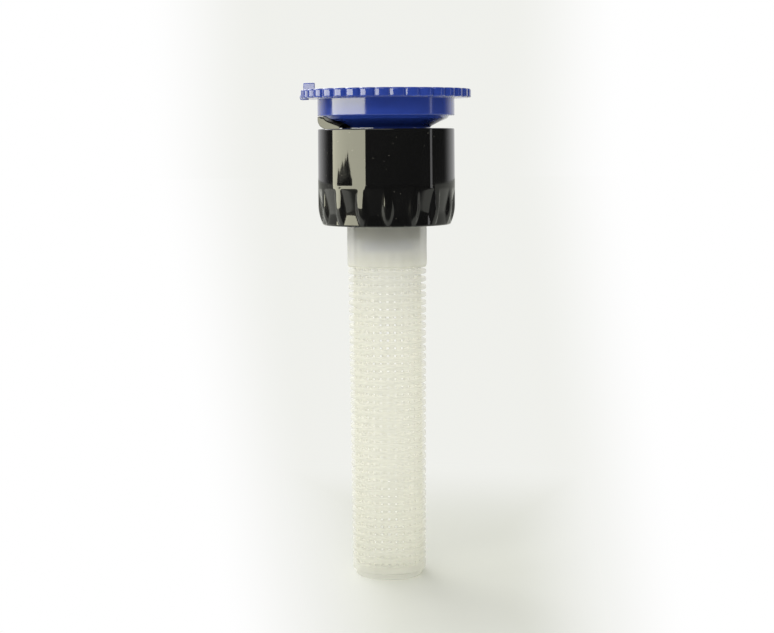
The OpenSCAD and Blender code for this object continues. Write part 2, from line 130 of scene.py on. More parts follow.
def lathe(bm, outline, steps, shape=None, start=0.0, angle=360.0):
    """Sweeps a closed outline around the axis. shape(angle, r, z) may move each point."""
    whole = angle >= 360
    columns = []
    for j in range(steps if whole else steps + 1):
        a = math.radians(start + angle * j / steps)
        column = []
        for r, z in outline:
            if shape:
                r, z = shape(a, r, z)
            column.append(bm.verts.new((r * math.cos(a), r * math.sin(a), z)))
        columns.append(column)
    size = len(outline)
    for j in range(steps):
        here, there = columns[j], columns[(j + 1) % len(columns)]
        for i in range(size):
            k = (i + 1) % size
            if not (same_place(here[i], there[i]) and same_place(here[k], there[k])):
                bm.faces.new((here[i], there[i], there[k], here[k]))
    if not whole:
        bm.faces.new(columns[0])
        bm.faces.new(reversed(columns[-1]))


def slab(bm, outline, near_y, far_y, place, edge=0.12):
    """A plate with rounded edges: an outline in x and z, between two sides whose y depends on x."""
    piece = bmesh.new()
    near = [piece.verts.new((x, near_y(x), z)) for x, z in outline]
    far = [piece.verts.new((x, far_y(x), z)) for x, z in outline]
    piece.faces.new(near)
    piece.faces.new(reversed(far))
    for i in range(len(outline)):
        k = (i + 1) % len(outline)
        piece.faces.new((near[i], far[i], far[k], near[k]))
    bmesh.ops.recalc_face_normals(piece, faces=piece.faces)
    bmesh.ops.bevel(piece, geom=piece.edges[:], offset=edge, segments=3, profile=0.5, affect="EDGES")
    flats = [face for face in piece.faces if face.calc_area() > LARGE_FACE]
    bmesh.ops.inset_individual(piece, faces=flats, thickness=FLAT_MARGIN)
    bmesh.ops.transform(piece, matrix=place, verts=piece.verts)
    scratch = to_mesh(piece, "scratch")
    bm.from_mesh(scratch)
    bpy.data.meshes.remove(scratch)


def around(degrees):
    """Turns a piece about the axis."""
    return Matrix.Rotation(math.radians(degrees), 4, "Z")


def between(x, x1, y1, x2, y2):
    """The height at x of the line through two points, level beyond them."""
    share = min(1, max(0, (x - x1) / (x2 - x1)))
    return y1 + (y2 - y1) * share


def smooth_max(a, b, k):
    """The larger of two lengths, with the corner between them rounded over about k."""
    return 0.5 * (a + b + math.sqrt((a - b) ** 2 + k * k))


def smooth_min(a, b, k):
    """The smaller of two lengths, with the corner rounded the same way."""
    return -smooth_max(-a, -b, k)


# ---------------------------------------------------------------- shader nodes

def put(tree, value, socket):
    """Writes a plain value into a socket, or links another node's socket to it."""
    if isinstance(value, bpy.types.NodeSocket):
        tree.links.new(value, socket)
    else:
        socket.default_value = value


def add_node(tree, kind, **inputs):
    """A shader node whose named inputs are set, each to a plain value or another node's socket."""
    node = tree.nodes.new(kind)
    for name, value in inputs.items():
        put(tree, value, node.inputs[name.replace("_", " ")])
    return node


def compute(tree, operation, *values):
    """The result of a math node. Each value is a number or a socket."""
    node = tree.nodes.new("ShaderNodeMath")
    node.operation = operation
    for socket, value in zip(node.inputs, values):
        put(tree, value, socket)
    return node.outputs[0]


def spread(tree, value, from_low, from_high, to_low=0.0, to_high=1.0, smooth=False):
    """Maps one range of a value to another, level beyond its ends."""
    node = add_node(tree, "ShaderNodeMapRange", Value=value, From_Min=from_low, From_Max=from_high,
                    To_Min=to_low, To_Max=to_high)
    if smooth:
        node.interpolation_type = "SMOOTHSTEP"
    return node.outputs["Result"]


def mix_colours(tree, amount, first, second):
    """Mixes two colours, each a plain one or a socket."""
    node = tree.nodes.new("ShaderNodeMix")
    node.data_type = "RGBA"
    put(tree, amount, node.inputs["Factor"])
    sides = [socket for socket in node.inputs if socket.type == "RGBA"]
    put(tree, first, sides[0])
    put(tree, second, sides[1])
    return [socket for socket in node.outputs if socket.type == "RGBA"][0]


def mix_shaders(tree, amount, first, second):
    node = tree.nodes.new("ShaderNodeMixShader")
    for socket, value in zip(node.inputs, (amount, first, second)):
        put(tree, value, socket)
    return node.outputs[0]


# ---------------------------------------------------------------- materials

# Scales of the noise, in cycles to a metre, and its levels of detail
TONE_SCALE, TONE_DETAIL = 90.0, 3.0
POLISH_SCALE, POLISH_DETAIL = 160.0, 4.0
GRAIN_SCALE, GRAIN_DETAIL = 700.0, 5.0
SCRATCH_SCALE, SCRATCH_DETAIL = 420.0, 1.0
SCRATCH_STRETCH = (0.12, 0.12, 5.0)       # long around the part and fine along its height
NOISE_LOW, NOISE_HIGH = 0.3, 0.7          # the noise's usual range
GRAIN_DEPTH = 0.03
COAT_ROUGHNESS = 0.02
CLEAR_LOW, CLEAR_HIGH = 50.4, 51.4        # heights between which the screen turns into the less clear collar


def plastic(name, base, roughness, variation=0.08, tone=0.06, coat=0.0, ior=1.5, subsurface=0.0,
            glow_through=0.0, clear=None, bump=0.05, specks=None, scratches=0.0, metallic=0.0):
    """A moulded or turned surface: uneven tone and polish, fine grain, dust specks and hair scratches.

    variation and tone are the shares by which the polish and the colour vary. glow_through is the
    share of the light that scatters on through the wall, and clear is the share that passes
    straight: a pair, for the screen and for the collar above it. specks is the scale of the
    pattern, a speck's size in it and its colour.
    """
    material = bpy.data.materials.new(name)
    material.use_nodes = True
    tree = material.node_tree
    shader = tree.nodes["Principled BSDF"]
    plain = {"IOR": ior, "Metallic": metallic, "Coat Weight": coat, "Coat Roughness": COAT_ROUGHNESS,
             "Subsurface Weight": subsurface, "Subsurface Radius": (1, 1, 1), "Subsurface Scale": MM}
    for socket, value in plain.items():
        shader.inputs[socket].default_value = value
    place = tree.nodes.new("ShaderNodeTexCoord").outputs["Object"]

    def noise(scale, detail, source=place):
        node = add_node(tree, "ShaderNodeTexNoise", Vector=source, Scale=scale, Detail=detail)
        return node.outputs["Fac"]

    darker = tuple(c * (1 - tone) for c in base) + (1,)
    lighter = tuple(min(1, c * (1 + tone)) for c in base) + (1,)
    unevenness = spread(tree, noise(TONE_SCALE, TONE_DETAIL), NOISE_LOW, NOISE_HIGH)
    colour = mix_colours(tree, unevenness, darker, lighter)
    polish = spread(tree, noise(POLISH_SCALE, POLISH_DETAIL), NOISE_LOW, NOISE_HIGH,
                    roughness * (1 - variation), roughness * (1 + variation))
    if specks:
        scale, size, tint = specks
        dots = add_node(tree, "ShaderNodeTexVoronoi", Vector=place, Scale=scale)
        mask = spread(tree, dots.outputs["Distance"], size, size / 2)
        colour = mix_colours(tree, mask, colour, tint + (1,))
    height = noise(GRAIN_SCALE, GRAIN_DETAIL)
    if scratches:
        stretched = add_node(tree, "ShaderNodeMapping", Vector=place, Scale=SCRATCH_STRETCH)
        lines = noise(SCRATCH_SCALE, SCRATCH_DETAIL, stretched.outputs["Vector"])
        height = compute(tree, "MULTIPLY_ADD", lines, scratches, height)
    relief = add_node(tree, "ShaderNodeBump", Strength=bump, Distance=GRAIN_DEPTH * MM, Height=height)
    tree.links.new(colour, shader.inputs["Base Color"])
    tree.links.new(polish, shader.inputs["Roughness"])
    tree.links.new(relief.outputs["Normal"], shader.inputs["Normal"])
    if glow_through:
        through = add_node(tree, "ShaderNodeBsdfTranslucent", Color=colour)
        solid = mix_shaders(tree, glow_through, shader.outputs[0], through.outputs[0])
        if clear:
            split = add_node(tree, "ShaderNodeSeparateXYZ", Vector=place)
            share = spread(tree, split.outputs["Z"], CLEAR_LOW * MM, CLEAR_HIGH * MM, *clear)
            sight = tree.nodes.new("ShaderNodeBsdfTransparent")
            solid = mix_shaders(tree, share, solid, sight.outputs[0])
        tree.links.new(solid, tree.nodes["Material Output"].inputs["Surface"])
    return material


BLACK = plastic("black_moulding", (0.0055, 0.0055, 0.0055), 0.035, variation=0.35, tone=0.2, coat=0.3,
                ior=1.52, specks=(900.0, 0.07, (0.22, 0.21, 0.18)), scratches=0.6, bump=0.02)
BLUE = plastic("blue_moulding", (0.029, 0.067, 0.40), 0.16, variation=0.3, tone=0.07, coat=0.7, ior=1.5,
               specks=(420.0, 0.03, (0.3, 0.35, 0.5)), scratches=0.4, bump=0.07)
BLUE_INNER = plastic("blue_inner_moulding", (0.03, 0.075, 0.40), 0.3, bump=0.08)
SCREEN = plastic("natural_polyethylene", (0.975, 0.97, 0.91), 0.3, variation=0.2, tone=0.01, ior=1.45,
                 glow_through=0.7, clear=(0.54, 0.31), bump=0.03)
IVORY = plastic("acetal_moulding", (0.72, 0.69, 0.6), 0.35, bump=0.08, subsurface=0.3)
RUBBER = plastic("seal_rubber", (0.02, 0.02, 0.02), 0.6, tone=0.25, bump=0.2)
STEEL = plastic("stainless_steel", (0.62, 0.61, 0.59), 0.24, variation=0.3, metallic=1.0, scratches=1.2,
                bump=0.1)
BRASS = plastic("turned_brass", (0.74, 0.52, 0.24), 0.26, variation=0.3, metallic=1.0, scratches=1.0,
                bump=0.1)


# ---------------------------------------------------------------- filter screen

SCREEN_LEN = 57.85       # from the closed end up to the body
COLLAR_LEN = 6.6
COLLAR_Z = SCREEN_LEN - COLLAR_LEN
COLLAR_R = 6.475
COLLAR_WALL = 1.05
FLANGE_R = 7.4
FLANGE_T = 0.7
RINGS_R = 6.35           # outside radius of the rings at the collar
RINGS_TAPER = 0.32       # and how much smaller it is at the closed end
NECK_Z = 50              # height of the ring whose radius the neck below the collar has
RING_ROUND = 0.11        # rounding of each ring's two edges
RING_ROUND_MIDDLE = 0.035
GROOVE_PITCH = 1.27
GROOVE_COUNT = 39
GROOVE_Z = 2.57          # middle of the lowest groove
GROOVE_MOUTH = 0.31      # half of a groove's width at its mouth
GROOVE_FLOOR = 0.17      # and at its floor
FLOOR_R = 5.47
SLOT_R = 5.57            # the inner slots are deeper than the grooves' floor, so holes open where they cross
SLOT_END = 0.54          # how far the slots run past the middles of the first and last grooves
LINER_R = 5.20
HOLE_COLUMNS = 28
HOLE_DEGREES = 4.4
SLOT_STEPS = 2
BAR_STEPS = 4
END_R = 5.45             # foot of the closed end
END_T = 1.2
POLE_R = 0.001           # where the closed end's faces meet, at the axis


def ring_radius(z):
    """Outside radius of the screen's rings, which get slimmer towards the closed end."""
    return RINGS_R - RINGS_TAPER * (1 - z / COLLAR_Z)


def column_angles():
    """The angles around the screen, and for each whether a slot and not a bar follows it."""
    pitch = 360 / HOLE_COLUMNS
    bar = pitch - HOLE_DEGREES
    angles = []
    in_slot = []
    for i in range(HOLE_COLUMNS):
        base = FRONT + i * pitch - HOLE_DEGREES / 2
        for k in range(SLOT_STEPS):
            angles.append(math.radians(base + HOLE_DEGREES * k / SLOT_STEPS))
            in_slot.append(True)
        for k in range(BAR_STEPS):
            angles.append(math.radians(base + HOLE_DEGREES + bar * k / BAR_STEPS))
            in_slot.append(False)
    return angles, in_slot


def make_screen():
    bm = bmesh.new()
    angles, in_slot = column_angles()
    count = len(angles)

    def loop(r, z):
        return [bm.verts.new((r * math.cos(a), r * math.sin(a), z)) for a in angles]

    def band(first, second, where="all"):
        """Faces between two loops: all around, or only across the slots or the bars."""
        for j in range(count):
            if where == "all" or (where == "slot") == in_slot[j]:
                k = (j + 1) % count
                bm.faces.new((first[j], first[k], second[k], second[j]))

    def wall(*loops):
        """Both side walls of every slot, each with its corners on the given loops."""
        for j in range(count):
            if in_slot[j] != in_slot[j - 1]:
                bm.faces.new([corner[j] for corner in loops])

    flange_top = high("filter_screen")
    flange_low = flange_top - FLANGE_T
    slot_low = GROOVE_Z - SLOT_END
    slot_high = GROOVE_Z + (GROOVE_COUNT - 1) * GROOVE_PITCH + SLOT_END

    # Closed end, outside, up to the first groove
    end = rounded([(POLE_R, 0.0), (END_R, 0.0, 0.22), (END_R, 0.85, 0.08), (5.1, 0.98, 0.06),
                   (ring_radius(1) - 0.02, 1.12, 0.1), (ring_radius(2), 2.0)])
    outer = [loop(r, z) for r, z in end]
    for first, second in zip(outer, outer[1:]):
        band(first, second)
    last_outer = outer[-1]

    # The inside of the closed end, the liner below the slots, and the slots' lower ends
    floor_in = loop(POLE_R, END_T)
    liner_low = loop(LINER_R - 0.25, END_T)
    liner_up = loop(LINER_R, END_T + 0.25)
    slot_in = loop(LINER_R, slot_low)
    slot_mid = loop(FLOOR_R, slot_low)
    slot_out = loop(SLOT_R, slot_low)
    band(floor_in, liner_low)
    band(liner_low, liner_up)
    band(liner_up, slot_in)
    band(slot_in, slot_mid, "slot")
    band(slot_mid, slot_out, "slot")
    last_in, last_mid, last_out = slot_in, slot_mid, slot_out

    for g in range(GROOVE_COUNT):
        z = GROOVE_Z + g * GROOVE_PITCH
        r = ring_radius(z)
        sides = {}
        for side in (-1, 1):
            sides[side] = [
                loop(r, z + side * (GROOVE_MOUTH + RING_ROUND)),
                loop(r - RING_ROUND_MIDDLE, z + side * (GROOVE_MOUTH + RING_ROUND_MIDDLE)),
                loop(r - RING_ROUND, z + side * GROOVE_MOUTH),
                loop(SLOT_R, z + side * GROOVE_FLOOR),
                loop(FLOOR_R, z + side * GROOVE_FLOOR),
                loop(LINER_R, z + side * GROOVE_FLOOR),
            ]
        below, above = sides[-1], sides[1]
        band(last_outer, below[0])
        for rows in (below, above):
            band(rows[0], rows[1])
            band(rows[1], rows[2])
            band(rows[2], rows[3])
            band(rows[3], rows[4], "bar")
        band(below[4], above[4], "bar")
        band(last_out, below[3], "slot")
        band(last_in, below[5], "bar")
        band(below[5], above[5], "bar")
        wall(last_in, below[5], below[4], last_mid)
        wall(last_mid, below[4], below[3], last_out)
        wall(below[5], above[5], above[4], below[4])
        last_outer, last_in, last_mid, last_out = above[0], above[5], above[4], above[3]

    # The slots' upper ends
    top_in = loop(LINER_R, slot_high)
    top_mid = loop(FLOOR_R, slot_high)
    top_out = loop(SLOT_R, slot_high)
    band(last_in, top_in, "bar")
    band(last_out, top_out, "slot")
    wall(last_in, top_in, top_mid, last_mid)
    wall(last_mid, top_mid, top_out, last_out)
    band(top_in, top_mid, "slot")
    band(top_mid, top_out, "slot")

    # Neck, collar and flange outside, then down the bore to the liner
    neck_r = ring_radius(NECK_Z)
    bore = COLLAR_R - COLLAR_WALL
    collar = rounded([(neck_r, COLLAR_Z - 0.25), (neck_r, COLLAR_Z - 0.06, 0.05),
                      (COLLAR_R, COLLAR_Z + 0.06, 0.1), (COLLAR_R, flange_low, 0.1),
                      (FLANGE_R, flange_low, 0.08), (FLANGE_R, flange_top, 0.1), (bore, flange_top, 0.08),
                      (bore, COLLAR_Z + 0.7, 0.3), (LINER_R, COLLAR_Z, 0.2), (LINER_R, slot_high + 0.05)])
    rows = [loop(r, z) for r, z in collar]
    band(last_outer, rows[0])
    for first, second in zip(rows, rows[1:]):
        band(first, second)
    band(rows[-1], top_in)
    screen = finish_mesh(bm, "ringed_filter_screen", SCREEN, sharp=40)
    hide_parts("filter_screen")
    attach(screen, "nozzle")


# ---------------------------------------------------------------- body

BODY_R = 11.1
BODY_TOP = 73.3
DRUM_WALL = 1.3          # the outline's points within this depth follow the flutes
FLUTE_TOP = 63.8
FLUTE_R = 10.42
FLUTE_RUNOUT = 60.05     # height from which a flute's floor slopes out to the drum
RIB_COUNT = 16
RIB_FIRST = FRONT + 0.9
RIB_HALF = 0.32          # half of a rib's width at the bottom
RIB_WIDENING = 0.36      # and how much more it is at the top
RIB_SIDE_SLOPE = 1.05
RIB_CURVE_TOP = 61.0     # height below which the ribs curve in
RIB_DROP = 0.76          # how far they come in at the bottom
OPENING_R = 7.45
SOCKET_R = 7.55
THREAD_H = 0.45
THREAD_PITCH = 0.94
THREAD_STEEPNESS = 2.6
THREAD_FADE = 0.6
SHOULDER_Z = 66.5
THREAD_LOW = 0.6         # above the body's lower edge
THREAD_HIGH = 0.7        # below the socket's shoulder
BOWL_Z = 69.4
CHAMBER_R = 5.655
HUB_R = 3.9
HUB_BORE = 2.71
HUB_LOW, HUB_HIGH = 67.6, 69.6
SPOKE_COUNT = 4
SPOKE_HALF = 0.6
SEAT_LOW = 69.8
SEAT_RISE = 1.0
SEAT_DEGREES = 356
FIN_ANGLE = 173          # where the fixed edge of the arc stands
LIP_DEGREES = 46
LIP_R = 11.0
LIP_T = 0.25
LIP_THICKENING = 0.1
LIP_SLANT = 0.3          # how much shorter the lip is on its lower side
LIP_GAP = 0.07           # below the deflector
LIP_LOWEST = 73.05
RING_LOW = 75.36
CONE_FOOT = (7.39, 73.72)
CONE_TOP = (9.82, 74.89)
CONE_RIM_R = 10.23


def skirt_radius(angle, z):
    """Outside radius of the body: a plain drum above, and ribs between flutes below."""
    if z >= FLUTE_TOP + 0.5:
        return BODY_R
    slope = (BODY_R - FLUTE_R) / (FLUTE_TOP - FLUTE_RUNOUT)
    flute = smooth_max(FLUTE_R, FLUTE_R + slope * (z - FLUTE_RUNOUT), 0.06)
    flute = smooth_min(flute, BODY_R, 0.03)
    drop_h = RIB_CURVE_TOP - SCREEN_LEN
    curve = (drop_h ** 2 + RIB_DROP ** 2) / (2 * RIB_DROP)
    below = max(0, RIB_CURVE_TOP - z)
    rib = BODY_R - curve + math.sqrt(curve ** 2 - below ** 2)
    pitch = WHOLE_TURN / RIB_COUNT
    offset = (angle - math.radians(RIB_FIRST) + pitch / 2) % pitch - pitch / 2
    share = min(1, max(0, (z - SCREEN_LEN) / (FLUTE_TOP - SCREEN_LEN)))
    half = RIB_HALF + RIB_WIDENING * share
    side = smooth_max(0, abs(offset) * BODY_R - half, 0.1)
    return smooth_min(BODY_R, smooth_max(flute, rib - side / RIB_SIDE_SLOPE, 0.05), 0.01)


def body_shape(angle, r, z):
    """Shapes the plain outline: flutes outside, and a helical thread in the socket."""
    if r > BODY_R - DRUM_WALL and z < BODY_TOP - 0.6:
        return r - BODY_R + skirt_radius(angle, z), z
    thread_low, thread_high = SCREEN_LEN + THREAD_LOW, SHOULDER_Z - THREAD_HIGH
    if abs(r - SOCKET_R) < 0.001 and thread_low < z < thread_high:
        phase = (z / THREAD_PITCH - angle / WHOLE_TURN) % 1
        tooth = max(0, 1 - abs(phase - 0.5) * THREAD_STEEPNESS)
        ends = min(1, (z - SCREEN_LEN - THREAD_LOW) / THREAD_FADE, (thread_high - z) / THREAD_FADE)
        return r + THREAD_H * tooth * max(0, ends), z
    return r, z


def underside(r):
    """Height of the deflector's underside, from its throat out to the ring."""
    if r < CONE_TOP[0]:
        return between(r, *CONE_FOOT, *CONE_TOP)
    return between(r, *CONE_TOP, CONE_RIM_R, RING_LOW)


def lip_shape(angle, share, side):
    """One point of the lip: a share of the way out, on its lower side (0) or its upper side (1)."""
    along = (math.degrees(angle) % 360 - FIN_ANGLE - 1) / LIP_DEGREES
    inner = OPENING_R + 0.03
    outer = inner + (LIP_R - inner) * math.sqrt(max(0, 1 - along ** 1.5)) + 0.05
    if not side:
        outer = max(inner + 0.02, outer - LIP_SLANT)
    r = inner + (outer - inner) * share
    thick = LIP_T + LIP_THICKENING * (1 - along) * share
    z = underside(r) - LIP_GAP - (0 if side else thick)
    return r, max(z, LIP_LOWEST)


def seat_shape(angle, r, z):
    """Lifts the seat's upper side along a helix, clockwise from the fixed arc edge."""
    turned = (math.radians(FIN_ANGLE) - angle) % WHOLE_TURN / WHOLE_TURN
    return r, z + (SEAT_RISE * turned if z > SEAT_LOW - 0.15 else 0)


def make_body():
    bm = bmesh.new()
    skirt_rows = 64
    thread_rows = 72
    bottom = [(SOCKET_R, SCREEN_LEN + 0.35), (SOCKET_R + 0.3, SCREEN_LEN + 0.03),
              (SOCKET_R + 0.4, SCREEN_LEN)]
    corner = [(BODY_R - 0.2, SCREEN_LEN), (BODY_R - 0.1, SCREEN_LEN + 0.03),
              (BODY_R - 0.03, SCREEN_LEN + 0.1)]
    skirt = [(BODY_R, SCREEN_LEN + 0.2 + (FLUTE_TOP + 0.6 - SCREEN_LEN - 0.2) * k / skirt_rows)
             for k in range(skirt_rows + 1)]
    drum = [(BODY_R - 0.01, 66.0), (BODY_R - 0.03, 70.0)]
    upper = rounded([(BODY_R - 0.03, 70.0), (BODY_R - 0.05, BODY_TOP, 0.18), (OPENING_R, BODY_TOP, 0.12),
                     (OPENING_R, BOWL_Z, 0.2), (CHAMBER_R, BOWL_Z, 0.1), (CHAMBER_R, SHOULDER_Z, 0.1),
                     (SOCKET_R + THREAD_H, SHOULDER_Z, 0.1), (SOCKET_R + THREAD_H, SHOULDER_Z - 0.55, 0.1),
                     (SOCKET_R, SHOULDER_Z - 0.65)])[1:]
    thread_top = SHOULDER_Z - THREAD_HIGH
    thread = [(SOCKET_R, thread_top - (thread_top - SCREEN_LEN - 0.5) * k / thread_rows)
              for k in range(thread_rows + 1)]
    lathe(bm, bottom + corner + skirt + drum + upper + thread, 384, body_shape)

    # Hub and spokes that carry the post
    hub = rounded([(HUB_BORE, HUB_LOW, 0.08), (HUB_R, HUB_LOW, 0.15), (HUB_R, HUB_HIGH, 0.15),
                   (HUB_BORE, HUB_HIGH, 0.08)])
    lathe(bm, hub, 96)
    spoke_in, spoke_out = HUB_R - 0.4, CHAMBER_R + 0.3
    spoke = [(spoke_in, HUB_LOW), (spoke_out, HUB_LOW), (spoke_out, BOWL_Z), (spoke_in, BOWL_Z)]
    for i in range(SPOKE_COUNT):
        slab(bm, spoke, lambda x: -SPOKE_HALF, lambda x: SPOKE_HALF, around(i * 360 / SPOKE_COUNT))

    # Helical valve seat
    inner, outer = CHAMBER_R + 0.2, OPENING_R + 0.15
    seat = rounded([(inner, 69.1), (outer, 69.1), (outer, SEAT_LOW), (inner, SEAT_LOW, 0.06)])
    lathe(bm, seat, 180, seat_shape, start=FIN_ANGLE + 2, angle=SEAT_DEGREES)

    # Fixed arc edge: a wedge under the cone, whose front face turns away to the left
    fin = [(OPENING_R + 0.05, 73.0), (9.82, 73.0), (9.9, 73.32), (10.3, 73.5), (10.75, 73.85), (11.02, 74.4),
           (11.07, 74.8), (11.07, 75.27), (10.3, 75.27), (9.9, 74.8), (OPENING_R + 0.05, 73.66)]
    slab(bm, fin, lambda x: -0.9, lambda x: between(x, OPENING_R, 2.6, 11.08, 0.5), around(180), edge=0.05)

    # The thin lip beside it, which follows the cone's underside and gets shorter along its length
    lip_steps = 16
    lip_outline = [(k / lip_steps, 0) for k in range(lip_steps + 1)]
    lip_outline += [(k / lip_steps, 1) for k in range(lip_steps, -1, -1)]
    lathe(bm, lip_outline, 48, lip_shape, start=FIN_ANGLE + 1, angle=LIP_DEGREES)
    body = finish_mesh(bm, "ribbed_nozzle_body", BLACK, sharp=38)
    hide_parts("nozzle_body")
    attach(body, "nozzle")


# ---------------------------------------------------------------- deflector and cap

DISC_R = 13.74
DISC_LOW = 78.2
DISC_TOP = 79.6
RING_R = 11.07
TEETH = 35
TOOTH_DEPTH = 0.64
TOOTH_POWER = 2.1        # the higher, the flatter the lobes and the narrower the gaps
TOOTH_ROOT_R = 12.9
STEPS_PER_TOOTH = 14
VALLEY_DEGREES = 2.8     # how far to the right of the front a gap between teeth lies
VALLEY_SHIFT = -math.radians(FRONT + VALLEY_DEGREES) * TEETH / WHOLE_TURN
MARK_DEGREES = 30        # from one engraved mark to the next
MARK_HALF = 0.3
MARK_DEPTH = 0.14
MARK_IN_R, MARK_OUT_R = 10.6, 11.8
LONG_MARK_DEGREES = 90   # each of these marks starts further in
LONG_MARK_IN_R = 9.6
WELL_R = 4.9
BEARING_R = 2.76
THROAT_R = 7.17
CAP_R = 5.75
TAB_ANGLE = 180
CAP_LOW, CAP_TOP = 78.3, 79.5
CAP_FIT = 0.07
CAP_HOLE_R = 2.4
DIMPLES = 8
DIMPLE_R = 4.15
DIMPLE_HALF = 0.75
DIMPLE_DEPTH = 0.18


def tooth_drop(angle):
    """How far the disc's edge lies inside its full radius: wide round lobes with narrow gaps."""
    share = (angle * TEETH / WHOLE_TURN + VALLEY_SHIFT) % 1
    across = min(abs(share - 0.5) * 2, 0.995)
    return TOOTH_DEPTH * (1 - (1 - across ** TOOTH_POWER) ** (1 / TOOTH_POWER))


def from_nearest(angle, step):
    """Degrees from the nearest of the marks that stand a step apart, counted from the tab."""
    return (math.degrees(angle) - TAB_ANGLE + step / 2) % step - step / 2


def deflector_shape(angle, r, z):
    """Teeth on the disc's edge, and shallow engraved marks on its top."""
    if r > TOOTH_ROOT_R:
        share = min(1, (r - TOOTH_ROOT_R) / 0.4)
        return r - tooth_drop(angle) * share, z
    if z > DISC_TOP - 0.01 and 9.0 < r < 12.2:
        inner = LONG_MARK_IN_R if abs(from_nearest(angle, LONG_MARK_DEGREES)) < 5 else MARK_IN_R
        aside = abs(from_nearest(angle, MARK_DEGREES)) * math.radians(1) * r
        if aside < MARK_HALF and inner < r < MARK_OUT_R:
            return r, z - MARK_DEPTH
    return r, z


def make_deflector():
    bm = bmesh.new()
    top_rows = [(r / 10, DISC_TOP) for r in range(122, 89, -2)]
    outline = rounded([
        (BEARING_R, 69.9, 0.08), (3.4, 69.9, 0.08), (3.4, 74.9, 0.15), (5.9, 74.9, 0.15), (5.9, 72.9, 0.1),
        (THROAT_R, 72.9, 0.15), (THROAT_R, 73.5, 0.1), (*CONE_FOOT, 0.1), (8.5, 74.3, 0.5),
        (*CONE_TOP, 0.25), (CONE_RIM_R, RING_LOW, 0.06), (RING_R, RING_LOW, 0.16), (RING_R, DISC_LOW, 0.12),
        (DISC_R, DISC_LOW, 0.22), (DISC_R, DISC_TOP, 0.24), (12.4, DISC_TOP)], 5)
    outline += top_rows
    outline += rounded([(8.4, DISC_TOP), (8.4, DISC_TOP - 0.12, 0.05), (8.0, DISC_TOP - 0.12, 0.05),
                        (8.0, DISC_TOP), (CAP_R, DISC_TOP, 0.1), (CAP_R, CAP_LOW, 0.05),
                        (WELL_R, CAP_LOW, 0.1), (WELL_R, 75.7, 0.1), (BEARING_R, 75.7, 0.1)], 3)
    lathe(bm, outline, TEETH * STEPS_PER_TOOTH, deflector_shape)

    # Arc tab
    tab = [(11.46, 78.5), (11.46, 80.75), (13.33, 80.75), (13.36, 79.6), (14.0, 78.5), (13.86, 78.05),
           (13.5, 78.0), (12.5, 78.02), (12.3, 78.5)]
    slab(bm, tab, lambda x: -0.9, lambda x: between(x, 11.46, 0.9, 14.0, -0.5), around(TAB_ANGLE), edge=0.13)
    deflector = finish_mesh(bm, "toothed_deflector", BLUE, sharp=38)
    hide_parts("deflector")
    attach(deflector, "turning_disc")


def cap_shape(angle, r, z):
    """Shallow hollows around the cap's face."""
    if z > CAP_TOP - 0.1 and abs(r - DIMPLE_R) < DIMPLE_HALF:
        wave = max(0, math.cos(angle * DIMPLES)) ** 2
        across = max(0, 1 - ((r - DIMPLE_R) / DIMPLE_HALF) ** 2)
        return r, z - DIMPLE_DEPTH * wave * across
    return r, z


def make_cap():
    bm = bmesh.new()
    rim_r = CAP_R - CAP_FIT
    face = [(r / 20, CAP_TOP) for r in range(100, 66, -1)]
    outline = rounded([(CAP_HOLE_R, CAP_LOW, 0.1), (rim_r, CAP_LOW, 0.1), (rim_r, CAP_TOP, 0.15),
                       (5.3, CAP_TOP)], 4)
    outline += face
    outline += rounded([(3.2, CAP_TOP), (CAP_HOLE_R, CAP_TOP, 0.25), (CAP_HOLE_R, CAP_LOW + 0.3)], 4)
    lathe(bm, outline, 192, cap_shape)
    cap = finish_mesh(bm, "snap_in_cap", BLUE)
    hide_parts("top_cap")
    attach(cap, "turning_disc")


# ---------------------------------------------------------------- radius screw

SCREW_R = 1.5
SCREW_END = 54.0
SCREW_PITCH = 0.5
SCREW_THREAD_DEPTH = 0.27
SCREW_THREAD_LOW, SCREW_THREAD_HIGH = 54.3, 63.4
CLIP_GROOVE_LOW, CLIP_GROOVE_HIGH = 65.4, 66.0
HEAD_LOW, HEAD_HIGH = 78.3, 79.4
HEAD_R = 1.9
DRIVE_SLOT_W = 0.6
DRIVE_SLOT_DEPTH = 0.6


def screw_shape(angle, r, z):
    """Cuts the thread into the plain shaft, fading out at both ends."""
    if abs(r - SCREW_R) < 0.001 and SCREW_THREAD_LOW < z < SCREW_THREAD_HIGH:
        phase = (z / SCREW_PITCH - angle / WHOLE_TURN) % 1
        ends = min(1, (z - SCREW_THREAD_LOW) / 0.4, (SCREW_THREAD_HIGH - z) / 0.4)
        return r - SCREW_THREAD_DEPTH * ends * (0.5 - 0.5 * math.cos(WHOLE_TURN * phase)), z
    return r, z


def cut_drive_slot(screw):
    """Cuts the screwdriver's slot across the head."""
    size = (3 * HEAD_R * MM, DRIVE_SLOT_W * MM, 2 * DRIVE_SLOT_DEPTH * MM)
    bm = bmesh.new()
    bmesh.ops.create_cube(bm, size=1.0, matrix=Matrix.LocRotScale((0, 0, HEAD_HIGH * MM), None, size))
    cutter = add_object("slot_cutter", to_mesh(bm, "slot_cutter"))
    cut = screw.modifiers.new("slot", "BOOLEAN")
    cut.operation = "DIFFERENCE"
    cut.solver = "EXACT"
    cut.object = cutter
    applied = bpy.data.meshes.new_from_object(screw.evaluated_get(bpy.context.evaluated_depsgraph_get()))
    screw.modifiers.clear()
    screw.data = applied
    bpy.data.objects.remove(cutter)
    applied.set_sharp_from_angle(angle=math.radians(35))


